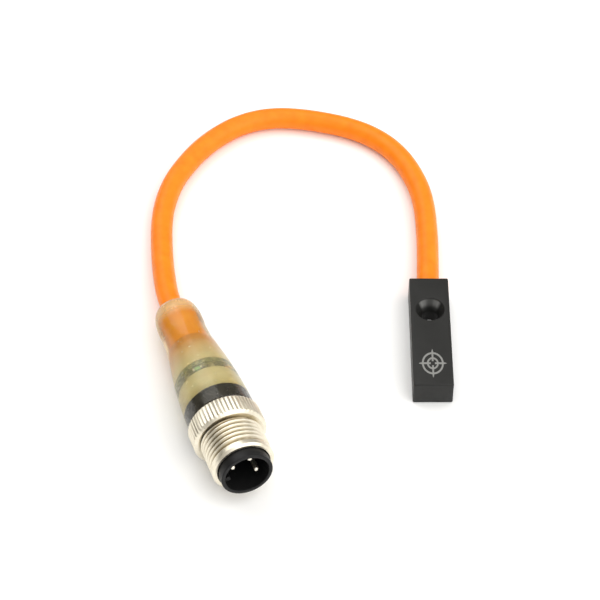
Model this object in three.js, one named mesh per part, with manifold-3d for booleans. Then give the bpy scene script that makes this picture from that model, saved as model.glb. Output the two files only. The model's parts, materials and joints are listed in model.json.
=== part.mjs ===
// Block proximity sensor with a short moulded lead that ends in an M12 plug.
// Units are millimetres and +Z is up. The origin is the middle of the sensor head's underside,
// the sensing end points to -Y and the lead leaves the head towards +Y. The head, the lead and
// the plug all lie on the plane z = 0.

import * as THREE from 'three';
import * as BufferGeometryUtils from 'three/addons/utils/BufferGeometryUtils.js';
import Module from 'manifold-3d';

const wasm = await Module();
wasm.setup();

// ---------------------------------------------------------------- driving dimensions

// Sensor head
const HEAD_WIDTH = 7.7;
const HEAD_LENGTH = 26.8;
const HEAD_HEIGHT = 5.5;
const HEAD_CORNER = 0.5;
const HEAD_EDGE = 0.22;
const WALL = 0.75;
const ROOF = 0.8;
const COVER_THICKNESS = 0.6;
const COVER_RIM = 0.5;
const COVER_GAP = 0.1;
const SCREW_Y = 5.4;
const SCREW_RADIUS = 1.75;
const SCREW_MOUTH_RADIUS = 2.85;
const SCREW_SEAT_Z = 2.6;
const MARK_Y = -8.1;

// Lead
const LEAD_RADIUS = 2.2;
const LEAD_SIDES = 10;
const LEAD_STEPS = 30;
const FACE_GAP = 0.3;
const SEAL_RADIUS = 2.25;
const SEAL_LENGTH = 3.7;
const SEAL_CLEARANCE = 0.1;
const HEAD_WIRE_RADIUS = 0.2;
const PLUG_WIRE_RADIUS = 0.45;

// Plug, measured along its own axis from the end where the lead enters (z = 0) to the rim
const PLUG_LENGTH = 46.9;
const PLUG_YAW = THREE.MathUtils.degToRad(19.7);
const PLUG_X = -50.7;
const PLUG_Y = 7.7;
const BODY_REAR_Z = 1.6;
const BULGE_Z = 6.0;
const BULGE_RADIUS = 4.6;
const KNURL_REAR_Z = 33.0;
const KNURL_FRONT_Z = 37.4;
const KNURL_RADIUS = 7.1;
const THREAD_RADIUS = 6.0;
const THREAD_ROOT_RADIUS = 5.45;
const NUT_FRONT_Z = 44.9;
const NUT_BORE_RADIUS = 5.15;
const NUT_RECESS_RADIUS = 5.85;
const NUT_STEP_Z = 35.6;
const BODY_FRONT_Z = 32.75;
const BODY_FRONT_RADIUS = 6.65;
const RING_REAR_Z = 29.0;
const RING_RADIUS = 5.95;
const RING_GAP = 0.1;
const CARRIER_RADIUS = 4.95;
const CARRIER_FLANGE_RADIUS = 5.6;
const SPIGOT_RADIUS = 3.5;
const SPIGOT_REAR_Z = 25.5;
const HOLLOW_RADIUS = 4.8;
const HOLLOW_REAR_Z = 17.0;
const INNER_MOULD_RADIUS = 4.5;
const INNER_MOULD_REAR_Z = 22.95;
const CAVITY_RADIUS = 4.2;
const CAVITY_FLOOR_Z = 37.5;
const PIN_RADIUS = 0.5;
const PIN_CIRCLE_RADIUS = 2.5;
const PIN_TIP_Z = 45.5;
const PIN_REAR_Z = 20.2;
const BOARD_REAR_Z = 21.0;
const BOARD_FRONT_Z = 22.0;
const BOARD_RADIUS = 4.6;
const JACKET_END_Z = 13.6;
const PIN_ANGLES = { 1: 153, 3: 333, 4: 63 };
const KEY_ANGLE = 198;
const ROUND_SIDES = 48;

// The plug rests on the knurled nut's rear edge and on the bulge at its back, nose up
const PLUG_TILT = Math.atan2(KNURL_RADIUS - BULGE_RADIUS, KNURL_REAR_Z - BULGE_Z);
const PLUG_REAR_HEIGHT = BULGE_RADIUS * Math.cos(PLUG_TILT) - BULGE_Z * Math.sin(PLUG_TILT);

// The lead's route from the plug to the head, chosen by hand: out of the plug along its axis,
// down to the table, round one open loop, and up into the middle of the head's end
const LEAD_ROUTE = [
  [-50.80, 7.98, 4.00],
  [-51.60, 10.90, 3.71],
  [-52.15, 14.00, 3.40],
  [-52.65, 17.60, 2.96],
  [-53.05, 21.50, 2.57],
  [-53.35, 25.50, 2.33],
  [-53.50, 29.60, 2.23],
  [-53.35, 33.80, 2.23],
  [-52.65, 38.20, 2.23],
  [-51.20, 43.00, 2.23],
  [-48.95, 47.40, 2.23],
  [-46.20, 51.55, 2.23],
  [-42.80, 55.20, 2.23],
  [-38.80, 58.25, 2.23],
  [-34.40, 60.15, 2.23],
  [-29.80, 60.85, 2.23],
  [-25.00, 60.50, 2.23],
  [-20.10, 59.50, 2.23],
  [-15.30, 58.00, 2.23],
  [-10.90, 55.75, 2.23],
  [-7.10, 52.60, 2.23],
  [-4.10, 48.60, 2.23],
  [-2.00, 44.10, 2.23],
  [-0.60, 39.40, 2.23],
  [0.08, 34.70, 2.23],
  [0.30, 30.00, 2.24],
  [0.34, 25.50, 2.32],
  [0.24, 21.00, 2.50],
  [0.10, 17.00, 2.68],
  [0.00, 13.70, 2.75],
];

// ---------------------------------------------------------------- materials

const finish = (color, roughness, metalness = 0) =>
  new THREE.MeshStandardMaterial({ color, roughness, metalness });

const MATERIALS = {
  blackPlastic: () => finish(0x232322, 0.45),
  blackInsert: () => finish(0x1b1b1c, 0.55),
  blackRubber: () => finish(0x181818, 0.8),
  orangeJacket: () => finish(0xf08a1e, 0.5),
  clearBody: () => finish(0xd8c080, 0.2),
  innerMould: () => finish(0xcdbb8a, 0.4),
  nickel: () => finish(0xc9c3b4, 0.3, 1),
  goldPin: () => finish(0xd2b26a, 0.28, 1),
  board: () => finish(0x2c5a38, 0.5),
  ferrite: () => finish(0x3a3a3c, 0.7),
  copper: () => finish(0xb5672f, 0.35, 1),
  bobbin: () => finish(0xe4ddc8, 0.5),
  chip: () => finish(0x202124, 0.5),
  ceramic: () => finish(0xb49a72, 0.5),
  greenLens: () => finish(0x6fd08a, 0.2),
  yellowLens: () => finish(0xf2c94c, 0.2),
  wireBrown: () => finish(0x6b4226, 0.5),
  wireBlue: () => finish(0x2a5fa8, 0.5),
  wireBlack: () => finish(0x202020, 0.5),
};

// ---------------------------------------------------------------- solids and their booleans

function toManifold(geometry) {
  const bare = geometry.index ? geometry.toNonIndexed() : geometry.clone();
  bare.deleteAttribute('normal');
  bare.deleteAttribute('uv');
  const merged = BufferGeometryUtils.mergeVertices(bare, 1e-5);
  const mesh = new wasm.Mesh({
    numProp: 3,
    vertProperties: new Float32Array(merged.attributes.position.array),
    triVerts: new Uint32Array(merged.index.array),
  });
  return new wasm.Manifold(mesh);
}

function fromManifold(solid) {
  const mesh = solid.getMesh();
  const geometry = new THREE.BufferGeometry();
  geometry.setAttribute('position', new THREE.BufferAttribute(mesh.vertProperties, 3));
  geometry.setIndex(new THREE.BufferAttribute(mesh.triVerts, 1));
  geometry.computeVertexNormals();
  return geometry;
}

function cut(geometry, ...cutters) {
  let solid = toManifold(geometry);
  for (const cutter of cutters) {
    solid = solid.subtract(toManifold(cutter));
  }
  return fromManifold(solid);
}

function join(geometry, ...others) {
  let solid = toManifold(geometry);
  for (const other of others) {
    solid = solid.add(toManifold(other));
  }
  return fromManifold(solid);
}

// A box from its lowest to its highest corner
function boxBetween(low, high) {
  const size = high.map((value, axis) => value - low[axis]);
  const middle = high.map((value, axis) => (value + low[axis]) / 2);
  return new THREE.BoxGeometry(...size).translate(...middle);
}

// A cylinder along Z from z0 to z1, centred on (x, y)
function rod(radius, z0, z1, x = 0, y = 0, sides = 24) {
  const cylinder = new THREE.CylinderGeometry(radius, radius, z1 - z0, sides);
  return cylinder.rotateX(Math.PI / 2).translate(x, y, (z0 + z1) / 2);
}

// A solid of revolution about Z; the profile lists [radius, z]
function turned(profile, sides = ROUND_SIDES) {
  const points = profile.map(([radius, z]) => new THREE.Vector2(radius, z));
  return new THREE.LatheGeometry(points, sides).rotateX(Math.PI / 2);
}

// A tube whose wall is the closed outline of [radius, z] corners, listed anticlockwise
function turnedRing(corners, sides = ROUND_SIDES) {
  return turned([...corners, corners[0]], sides);
}

function tubeAlong(points, radius, sides, steps) {
  const curve = new THREE.CatmullRomCurve3(points.map((p) => new THREE.Vector3(...p)), false, 'centripetal');
  const section = new THREE.Shape();
  for (let i = 0; i < sides; i += 1) {
    const angle = (2 * Math.PI * i) / sides;
    const corner = [radius * Math.cos(angle), radius * Math.sin(angle)];
    if (i === 0) {
      section.moveTo(...corner);
    } else {
      section.lineTo(...corner);
    }
  }
  section.closePath();
  return new THREE.ExtrudeGeometry(section, { steps, extrudePath: curve, bevelEnabled: false });
}

function roundedRectangle(width, length, corner) {
  const x = width / 2;
  const y = length / 2;
  const shape = new THREE.Shape();
  shape.moveTo(-x + corner, -y);
  shape.lineTo(x - corner, -y);
  shape.absarc(x - corner, -y + corner, corner, -Math.PI / 2, 0, false);
  shape.lineTo(x, y - corner);
  shape.absarc(x - corner, y - corner, corner, 0, Math.PI / 2, false);
  shape.lineTo(-x + corner, y);
  shape.absarc(-x + corner, y - corner, corner, Math.PI / 2, Math.PI, false);
  shape.lineTo(-x, -y + corner);
  shape.absarc(-x + corner, -y + corner, corner, Math.PI, 1.5 * Math.PI, false);
  return shape;
}

// ---------------------------------------------------------------- scene graph

const sensor = new THREE.Group();
const plug = new THREE.Group();
sensor.add(plug);

function part(parent, name, geometry, material) {
  const mesh = new THREE.Mesh(geometry, MATERIALS[material]());
  mesh.name = name;
  parent.add(mesh);
  return mesh;
}

// ---------------------------------------------------------------- sensor head

const CHAMBER_X = HEAD_WIDTH / 2 - WALL;
const CHAMBER_FRONT_Y = -HEAD_LENGTH / 2 + 0.9;
const CHAMBER_REAR_Y = 2.3;
const CHAMBER_TOP = HEAD_HEIGHT - ROOF;
const WIRE_ROOM_FRONT_Y = 8.1;
const SEAL_FRONT_Y = HEAD_LENGTH / 2 - SEAL_LENGTH;
const COVER_REAR_Y = 9.2;
const LEAD_HEIGHT = HEAD_HEIGHT / 2;
const BOARD_TOP = 1.9;

// The screw hole: a straight bore below, opening upwards into a deep funnel
function screwHoleCutter() {
  return turned([
    [0, -1],
    [SCREW_RADIUS, -1],
    [SCREW_RADIUS, SCREW_SEAT_Z],
    [SCREW_MOUTH_RADIUS, HEAD_HEIGHT],
    [SCREW_MOUTH_RADIUS, HEAD_HEIGHT + 1],
    [0, HEAD_HEIGHT + 1],
  ], 40).translate(0, SCREW_Y, 0);
}

function headBlock() {
  const outline = roundedRectangle(HEAD_WIDTH - 2 * HEAD_EDGE, HEAD_LENGTH - 2 * HEAD_EDGE, HEAD_CORNER);
  return new THREE.ExtrudeGeometry(outline, {
    depth: HEAD_HEIGHT - 2 * HEAD_EDGE,
    bevelThickness: HEAD_EDGE,
    bevelSize: HEAD_EDGE,
    bevelSegments: 2,
    curveSegments: 3,
  }).translate(0, 0, HEAD_EDGE);
}

function addHousing() {
  const below = -1;
  const coverX = HEAD_WIDTH / 2 - COVER_RIM;
  const coverFloor = COVER_THICKNESS + COVER_GAP;
  const channelX = SCREW_RADIUS + 0.35;
  const channelTop = SCREW_SEAT_Z - 0.2;
  const wireRoomTop = 4.0;
  const sealBore = rod(SEAL_RADIUS + SEAL_CLEARANCE, SEAL_FRONT_Y - 0.6, HEAD_LENGTH / 2 + 1, 0, 0, 32)
    .rotateX(-Math.PI / 2)
    .translate(0, 0, LEAD_HEIGHT);
  const housing = cut(
    headBlock(),
    boxBetween([-CHAMBER_X, CHAMBER_FRONT_Y, below], [CHAMBER_X, CHAMBER_REAR_Y, CHAMBER_TOP]),
    boxBetween([-CHAMBER_X, WIRE_ROOM_FRONT_Y, below], [CHAMBER_X, COVER_REAR_Y, wireRoomTop]),
    boxBetween([channelX, CHAMBER_REAR_Y - 1, below], [CHAMBER_X, WIRE_ROOM_FRONT_Y + 1, channelTop]),
    boxBetween([-CHAMBER_X, CHAMBER_REAR_Y - 1, below], [-channelX, WIRE_ROOM_FRONT_Y + 1, channelTop]),
    boxBetween([-coverX, -HEAD_LENGTH / 2 + COVER_RIM, below], [coverX, COVER_REAR_Y, coverFloor]),
    screwHoleCutter(),
    sealBore,
  );
  part(sensor, 'sensor_housing', housing, 'blackPlastic');
}

function addBaseCover() {
  const x = HEAD_WIDTH / 2 - COVER_RIM - COVER_GAP;
  const front = -HEAD_LENGTH / 2 + COVER_RIM + COVER_GAP;
  const plate = boxBetween([-x, front, 0], [x, COVER_REAR_Y - COVER_GAP, COVER_THICKNESS]);
  const hole = rod(SCREW_RADIUS + 0.05, -1, 1, 0, SCREW_Y, 40);
  part(sensor, 'base_cover', cut(plate, hole), 'blackPlastic');
}

// Where the three conductors pass through the seal, as [x, z] from its axis
const WIRE_SLOTS = [
  [-0.9, -0.5],
  [0.9, -0.5],
  [0, 0.9],
];

function addCableSeal() {
  const holes = WIRE_SLOTS.map(([x, z]) => rod(HEAD_WIRE_RADIUS + 0.2, -1, SEAL_LENGTH + 1, x, -z, 12));
  const seal = cut(rod(SEAL_RADIUS, 0, SEAL_LENGTH, 0, 0, 32), ...holes)
    .rotateX(-Math.PI / 2)
    .translate(0, SEAL_FRONT_Y, LEAD_HEIGHT);
  part(sensor, 'cable_seal', seal, 'blackRubber');
}

// Each conductor leaves the seal, passes the screw hole in a side channel and ends at the board
function addHeadWires() {
  const sideX = (SCREW_RADIUS + 0.35 + CHAMBER_X) / 2;
  const boardEndY = 2.0;
  const wires = [
    { name: 'head_wire_blue', color: 'wireBlue', slot: WIRE_SLOTS[0], side: -sideX, z: 1.35 },
    { name: 'head_wire_brown', color: 'wireBrown', slot: WIRE_SLOTS[1], side: sideX, z: 1.1 },
    { name: 'head_wire_black', color: 'wireBlack', slot: WIRE_SLOTS[2], side: sideX, z: 1.95 },
  ];
  for (const { name, color, slot, side, z } of wires) {
    const [x, dz] = slot;
    const route = [
      [x, HEAD_LENGTH / 2 - 0.1, LEAD_HEIGHT + dz],
      [x, SEAL_FRONT_Y - 0.3, LEAD_HEIGHT + dz],
      [side, WIRE_ROOM_FRONT_Y + 0.1, z],
      [side, SCREW_Y, z],
      [side, boardEndY, z],
    ];
    part(sensor, name, tubeAlong(route, HEAD_WIRE_RADIUS, 8, 16), color);
  }
}

function addSensingElement() {
  const coreTop = CHAMBER_TOP - 0.1;
  const coreFloor = coreTop - 1.9;
  const windowFloor = coreFloor + 0.5;
  const core = turned([
    [0, coreFloor],
    [2.4, coreFloor],
    [2.4, coreTop],
    [1.9, coreTop],
    [1.9, windowFloor],
    [0.75, windowFloor],
    [0.75, coreTop],
    [0, coreTop],
  ], 32);
  const bobbin = turnedRing([
    [0.83, windowFloor + 0.05],
    [1.82, windowFloor + 0.05],
    [1.82, windowFloor + 0.18],
    [0.98, windowFloor + 0.18],
    [0.98, coreTop - 0.18],
    [1.82, coreTop - 0.18],
    [1.82, coreTop - 0.05],
    [0.83, coreTop - 0.05],
  ], 32);
  const coil = turnedRing([
    [1.04, windowFloor + 0.24],
    [1.78, windowFloor + 0.24],
    [1.78, coreTop - 0.24],
    [1.04, coreTop - 0.24],
  ], 32);
  part(sensor, 'ferrite_core', core.translate(0, MARK_Y, 0), 'ferrite');
  part(sensor, 'coil_bobbin', bobbin.translate(0, MARK_Y, 0), 'bobbin');
  part(sensor, 'sense_coil', coil.translate(0, MARK_Y, 0), 'copper');
}

function addHeadElectronics() {
  const board = boxBetween([-2.6, CHAMBER_FRONT_Y + 0.3, 1.3], [2.6, 1.5, BOARD_TOP]);
  part(sensor, 'circuit_board', board, 'board');
  const components = [
    { name: 'oscillator_chip', at: [0, -3.6], size: [2.4, 2.4, 0.8], material: 'chip' },
    { name: 'output_transistor', at: [-1.2, -0.4], size: [1.4, 1.2, 0.7], material: 'chip' },
    { name: 'filter_capacitor', at: [1.3, -0.4], size: [0.8, 1.6, 0.6], material: 'ceramic' },
    { name: 'trim_resistor', at: [1.9, -3.6], size: [0.6, 1.2, 0.4], material: 'chip' },
    { name: 'timing_capacitor', at: [-1.9, -3.6], size: [0.6, 1.2, 0.5], material: 'ceramic' },
  ];
  for (const { name, at, size, material } of components) {
    const [x, y] = at;
    const [width, length, height] = size;
    const low = [x - width / 2, y - length / 2, BOARD_TOP + 0.05];
    const high = [x + width / 2, y + length / 2, BOARD_TOP + 0.05 + height];
    part(sensor, name, boxBetween(low, high), material);
  }
}

// ---------------------------------------------------------------- lead

function addLead() {
  part(sensor, 'cable_jacket', tubeAlong(LEAD_ROUTE, LEAD_RADIUS, LEAD_SIDES, LEAD_STEPS), 'orangeJacket');
}

// ---------------------------------------------------------------- plug

// A point at an angle round the plug, seen from its nose, anticlockwise from the right
function aroundPlug(radius, degrees) {
  const angle = THREE.MathUtils.degToRad(degrees);
  return [radius * Math.cos(angle), radius * Math.sin(angle)];
}

function pinHoleCutters(z0, z1) {
  return Object.values(PIN_ANGLES).map((degrees) => {
    const [x, y] = aroundPlug(PIN_CIRCLE_RADIUS, degrees);
    return rod(PIN_RADIUS + 0.1, z0, z1, x, y, 16);
  });
}

// The plug's own +Z runs from the lead to the nose, and its +Y is as near to up as the tilt lets it be
function placePlug() {
  const nose = new THREE.Vector3(
    Math.sin(PLUG_YAW) * Math.cos(PLUG_TILT),
    -Math.cos(PLUG_YAW) * Math.cos(PLUG_TILT),
    Math.sin(PLUG_TILT),
  );
  const right = new THREE.Vector3(0, 0, 1).cross(nose).normalize();
  const upward = new THREE.Vector3().crossVectors(nose, right);
  plug.quaternion.setFromRotationMatrix(new THREE.Matrix4().makeBasis(right, upward, nose));
  plug.position.set(PLUG_X, PLUG_Y, PLUG_REAR_HEIGHT);
}

// The clear overmoulding: a waisted horn, bored for the lead behind and hollow in front for the board
// and the black ring, which shows through its thin front wall
function addPlugBody() {
  const boreRadius = LEAD_RADIUS + FACE_GAP;
  const body = turnedRing([
    [boreRadius, BODY_REAR_Z],
    [3.0, BODY_REAR_Z],
    [3.85, 2.3],
    [4.35, 3.7],
    [BULGE_RADIUS, BULGE_Z],
    [4.56, 7.8],
    [4.48, 9.4],
    [4.64, 12.2],
    [5.05, 15.0],
    [5.5, 18.0],
    [5.92, 21.0],
    [6.25, 24.5],
    [6.55, 28.5],
    [BODY_FRONT_RADIUS, BODY_FRONT_Z],
    [RING_RADIUS + RING_GAP, BODY_FRONT_Z],
    [RING_RADIUS + RING_GAP, RING_REAR_Z - RING_GAP],
    [HOLLOW_RADIUS, RING_REAR_Z - RING_GAP],
    [HOLLOW_RADIUS, HOLLOW_REAR_Z],
    [boreRadius, HOLLOW_REAR_Z],
  ]);
  part(plug, 'plug_body', body, 'clearBody');
}

function addJacketEnd() {
  part(plug, 'jacket_end', rod(LEAD_RADIUS, 0, JACKET_END_Z, 0, 0, 24), 'orangeJacket');
}

function addRetainingRing() {
  const bore = CARRIER_RADIUS + 0.2;
  const ring = turnedRing([
    [bore, RING_REAR_Z],
    [RING_RADIUS, RING_REAR_Z],
    [RING_RADIUS, BODY_FRONT_Z],
    [bore, BODY_FRONT_Z],
  ]);
  part(plug, 'retaining_ring', ring, 'blackInsert');
}

// The insert that holds the contacts: shroud and key in front, a flange that the nut pulls on, and
// a spigot behind that the inner mould grips
function addContactCarrier() {
  const flangeRearZ = KNURL_REAR_Z + 0.15;
  const flangeFrontZ = NUT_STEP_Z - 0.4;
  const rimChamfer = 0.2;
  const carrier = turned([
    [0, SPIGOT_REAR_Z],
    [SPIGOT_RADIUS, SPIGOT_REAR_Z],
    [SPIGOT_RADIUS, RING_REAR_Z],
    [CARRIER_RADIUS, RING_REAR_Z],
    [CARRIER_RADIUS, flangeRearZ],
    [CARRIER_FLANGE_RADIUS, flangeRearZ],
    [CARRIER_FLANGE_RADIUS, flangeFrontZ],
    [CARRIER_RADIUS, flangeFrontZ],
    [CARRIER_RADIUS, PLUG_LENGTH - rimChamfer],
    [CARRIER_RADIUS - rimChamfer, PLUG_LENGTH],
    [CAVITY_RADIUS, PLUG_LENGTH],
    [CAVITY_RADIUS, CAVITY_FLOOR_Z],
    [0, CAVITY_FLOOR_Z],
  ]);
  const key = boxBetween([3.1, -0.5, CAVITY_FLOOR_Z - 0.5], [CAVITY_RADIUS + 0.3, 0.5, PLUG_LENGTH - 1.2])
    .rotateZ(THREE.MathUtils.degToRad(KEY_ANGLE));
  const pinHoles = pinHoleCutters(SPIGOT_REAR_Z - 1, CAVITY_FLOOR_Z + 1);
  part(plug, 'contact_carrier', cut(join(carrier, key), ...pinHoles), 'blackInsert');
}

// The first shot of resin, which seals the lamp board to the insert's spigot
function addInnerMould() {
  const socketRadius = SPIGOT_RADIUS + 0.2;
  const socketFloorZ = SPIGOT_REAR_Z - 0.2;
  const cupFrontZ = RING_REAR_Z - 0.2;
  const cup = turned([
    [0, INNER_MOULD_REAR_Z],
    [INNER_MOULD_RADIUS, INNER_MOULD_REAR_Z],
    [INNER_MOULD_RADIUS, cupFrontZ],
    [socketRadius, cupFrontZ],
    [socketRadius, socketFloorZ],
    [0, socketFloorZ],
  ]);
  const pinHoles = pinHoleCutters(INNER_MOULD_REAR_Z - 1, socketFloorZ + 1);
  part(plug, 'inner_mould', cut(cup, ...pinHoles), 'innerMould');
}

function addContactPins() {
  for (const [number, degrees] of Object.entries(PIN_ANGLES)) {
    const [x, y] = aroundPlug(PIN_CIRCLE_RADIUS, degrees);
    const pin = turned([
      [0, PIN_REAR_Z],
      [PIN_RADIUS, PIN_REAR_Z],
      [PIN_RADIUS, PIN_TIP_Z - 0.5],
      [0.42, PIN_TIP_Z - 0.2],
      [0.22, PIN_TIP_Z],
      [0, PIN_TIP_Z],
    ], 16).translate(x, y, 0);
    part(plug, `contact_pin_${number}`, pin, 'goldPin');
  }
}

// The coupling nut: a sleeve with the screw thread in front and the knurled grip behind
function addCouplingNut() {
  const profile = [
    [NUT_RECESS_RADIUS, KNURL_REAR_Z],
    [KNURL_RADIUS, KNURL_REAR_Z],
    [KNURL_RADIUS, KNURL_FRONT_Z - 0.6],
    [KNURL_RADIUS - 0.6, KNURL_FRONT_Z],
    [THREAD_ROOT_RADIUS, KNURL_FRONT_Z],
    [THREAD_ROOT_RADIUS, KNURL_FRONT_Z + 0.5],
    [THREAD_RADIUS, KNURL_FRONT_Z + 0.9],
    [THREAD_RADIUS, NUT_FRONT_Z - 0.5],
    [THREAD_RADIUS - 0.5, NUT_FRONT_Z],
    [NUT_BORE_RADIUS, NUT_FRONT_Z],
    [NUT_BORE_RADIUS, NUT_STEP_Z],
    [NUT_RECESS_RADIUS, NUT_STEP_Z],
  ];
  part(plug, 'coupling_nut', turnedRing(profile), 'nickel');
}

// The round board behind the insert that joins the contacts to the lead and carries the lamps
function addLampBoard() {
  const pinHoles = pinHoleCutters(BOARD_REAR_Z - 1, BOARD_FRONT_Z + 1);
  const board = cut(rod(BOARD_RADIUS, BOARD_REAR_Z, BOARD_FRONT_Z, 0, 0, 40), ...pinHoles);
  part(plug, 'lamp_board', board, 'board');
  const components = [
    { name: 'power_lamp', angle: 108, size: [1.6, 0.8, 0.7], material: 'greenLens' },
    { name: 'output_lamp', angle: 18, size: [1.6, 0.8, 0.7], material: 'yellowLens' },
    { name: 'power_lamp_resistor', angle: 198, size: [1.2, 0.6, 0.45], material: 'chip' },
    { name: 'output_lamp_resistor', angle: 288, size: [1.2, 0.6, 0.45], material: 'chip' },
  ];
  for (const { name, angle, size, material } of components) {
    const [width, length, height] = size;
    const front = BOARD_FRONT_Z + 0.05;
    const body = boxBetween([-width / 2, 3.1, front], [width / 2, 3.1 + length, front + height])
      .rotateZ(THREE.MathUtils.degToRad(angle - 90));
    part(plug, name, body, material);
  }
}

// Short conductors from the end of the lead's jacket to the backs of the contacts
function addPlugWires() {
  const colors = { 1: 'Brown', 3: 'Blue', 4: 'Black' };
  for (const [number, degrees] of Object.entries(PIN_ANGLES)) {
    const [innerX, innerY] = aroundPlug(1.1, degrees);
    const [outerX, outerY] = aroundPlug(PIN_CIRCLE_RADIUS, degrees);
    const route = [
      [innerX, innerY, JACKET_END_Z + 0.1],
      [innerX, innerY, JACKET_END_Z + 1.2],
      [outerX, outerY, PIN_REAR_Z - 1.2],
      [outerX, outerY, PIN_REAR_Z - 0.1],
    ];
    const name = `plug_wire_${colors[number].toLowerCase()}`;
    part(plug, name, tubeAlong(route, PLUG_WIRE_RADIUS, 8, 8), `wire${colors[number]}`);
  }
}

// ---------------------------------------------------------------- assembly

addHousing();
addBaseCover();
addCableSeal();
addHeadWires();
addSensingElement();
addHeadElectronics();
addLead();
placePlug();
addPlugBody();
addJacketEnd();
addRetainingRing();
addContactCarrier();
addInnerMould();
addContactPins();
addCouplingNut();
addLampBoard();
addPlugWires();

export default sensor;
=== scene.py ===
"""Looks of the block sensor, its orange lead and its M12 plug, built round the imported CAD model.

Blender objects are in metres, in the CAD model's frame: +Z up, origin under the middle of the head.
Sizes are written in millimetres and scaled once, where a mesh is made.
"""

import json
import math

import bmesh
import bpy
from mathutils import Matrix, Vector


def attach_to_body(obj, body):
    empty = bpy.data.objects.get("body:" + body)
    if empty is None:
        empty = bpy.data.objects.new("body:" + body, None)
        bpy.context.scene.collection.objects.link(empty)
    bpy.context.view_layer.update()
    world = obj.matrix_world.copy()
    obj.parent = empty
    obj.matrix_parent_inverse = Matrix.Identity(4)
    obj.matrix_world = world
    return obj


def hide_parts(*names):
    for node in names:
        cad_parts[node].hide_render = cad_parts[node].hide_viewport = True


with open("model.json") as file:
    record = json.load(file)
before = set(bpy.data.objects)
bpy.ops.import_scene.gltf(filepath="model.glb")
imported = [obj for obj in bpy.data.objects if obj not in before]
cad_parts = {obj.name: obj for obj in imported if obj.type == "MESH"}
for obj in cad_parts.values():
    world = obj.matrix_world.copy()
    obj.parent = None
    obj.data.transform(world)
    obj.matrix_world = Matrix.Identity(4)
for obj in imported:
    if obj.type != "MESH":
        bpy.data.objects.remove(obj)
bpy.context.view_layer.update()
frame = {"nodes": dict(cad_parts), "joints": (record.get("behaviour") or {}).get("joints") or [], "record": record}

MM = 0.001

# ---------------------------------------------------------------- driving dimensions, in millimetres

# Camera
CAMERA_ELEVATION = math.radians(50)
CAMERA_DISTANCE = 438
CAMERA_LENS = 132
CAMERA_SENSOR_WIDTH = 36
VIEW_CENTRE = (-25.4, 12.3, 0)

# Sensor head
HEAD_WIDTH = 7.7
HEAD_LENGTH = 26.8
HEAD_HEIGHT = 5.5
HEAD_EDGE = 0.3
SCREW_Y = 5.4
SCREW_RADIUS = 1.75
SCREW_MOUTH_RADIUS = 2.85
SCREW_SEAT_Z = 2.6
COVER_RIM = 0.5
COVER_DEPTH = 0.7
COVER_REAR_Y = 9.2
SEAL_BORE_RADIUS = 2.35
SEAL_FRONT_Y = 9.6
CHAMBER_SIDE_WALL = 0.75
CHAMBER_END_WALL = 0.9
CHAMBER_ROOF = 0.8
CHAMBER_REAR_Y = 2.3
MARK_Y = -8.1
MARK_STRETCH = (0.93, 1.2)  # across and along the head

# Lead, from the plug's end to the head
LEAD_RADIUS = 2.2
LEAD_ROUTE = [
    (-50.80, 7.98, 4.00),
    (-51.60, 10.90, 3.71),
    (-52.15, 14.00, 3.40),
    (-52.65, 17.60, 2.96),
    (-53.05, 21.50, 2.57),
    (-53.35, 25.50, 2.33),
    (-53.50, 29.60, 2.23),
    (-53.35, 33.80, 2.23),
    (-52.65, 38.20, 2.23),
    (-51.20, 43.00, 2.23),
    (-48.95, 47.40, 2.23),
    (-46.20, 51.55, 2.23),
    (-42.80, 55.20, 2.23),
    (-38.80, 58.25, 2.23),
    (-34.40, 60.15, 2.23),
    (-29.80, 60.85, 2.23),
    (-25.00, 60.50, 2.23),
    (-20.10, 59.50, 2.23),
    (-15.30, 58.00, 2.23),
    (-10.90, 55.75, 2.23),
    (-7.10, 52.60, 2.23),
    (-4.10, 48.60, 2.23),
    (-2.00, 44.10, 2.23),
    (-0.60, 39.40, 2.23),
    (0.08, 34.70, 2.23),
    (0.30, 30.00, 2.24),
    (0.34, 25.50, 2.32),
    (0.24, 21.00, 2.50),
    (0.10, 17.00, 2.68),
    (0.00, 13.70, 2.75),
]

# Plug, along its own axis from the end where the lead enters (z = 0) to the rim
PLUG_LENGTH = 46.9
HINGE_Z = 35.0
BODY_REAR_Z = 1.6
BODY_FRONT_Z = 32.75
RING_REAR_Z = 29.0
RING_FRONT_Z = 32.7
RING_RADIUS = 5.95
KNURL_REAR_Z = 33.0
KNURL_FRONT_Z = 37.4
KNURL_RADIUS = 7.1
KNURL_RIBS = 52
KNURL_DEPTH = 0.13
THREAD_RADIUS = 5.98
THREAD_ROOT_RADIUS = 5.42
THREAD_PITCH = 1.0
THREAD_REAR_Z = 37.7
THREAD_FRONT_Z = 43.1
NUT_FRONT_Z = 44.9
NUT_BORE_RADIUS = 5.15
NUT_RECESS_RADIUS = 5.85
NUT_STEP_Z = 35.6
CARRIER_RADIUS = 4.95
CARRIER_FLANGE_RADIUS = 5.6
SPIGOT_RADIUS = 3.5
SPIGOT_REAR_Z = 25.5
CAVITY_RADIUS = 4.2
CAVITY_FLOOR_Z = 37.5
PIN_RADIUS = 0.5
PIN_CIRCLE_RADIUS = 2.5
PIN_TIP_Z = 45.5
PIN_REAR_Z = 20.2
BOARD_REAR_Z = 21.0
BOARD_FRONT_Z = 22.0
BOARD_RADIUS = 4.6
JACKET_END_Z = 13.6
INNER_MOULD_RADIUS = 4.5
INNER_MOULD_REAR_Z = 22.95
PIN_ANGLES = {1: 153, 3: 333, 4: 63}
EMPTY_PIN_ANGLE = 243
KEY_ANGLE = 198

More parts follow.
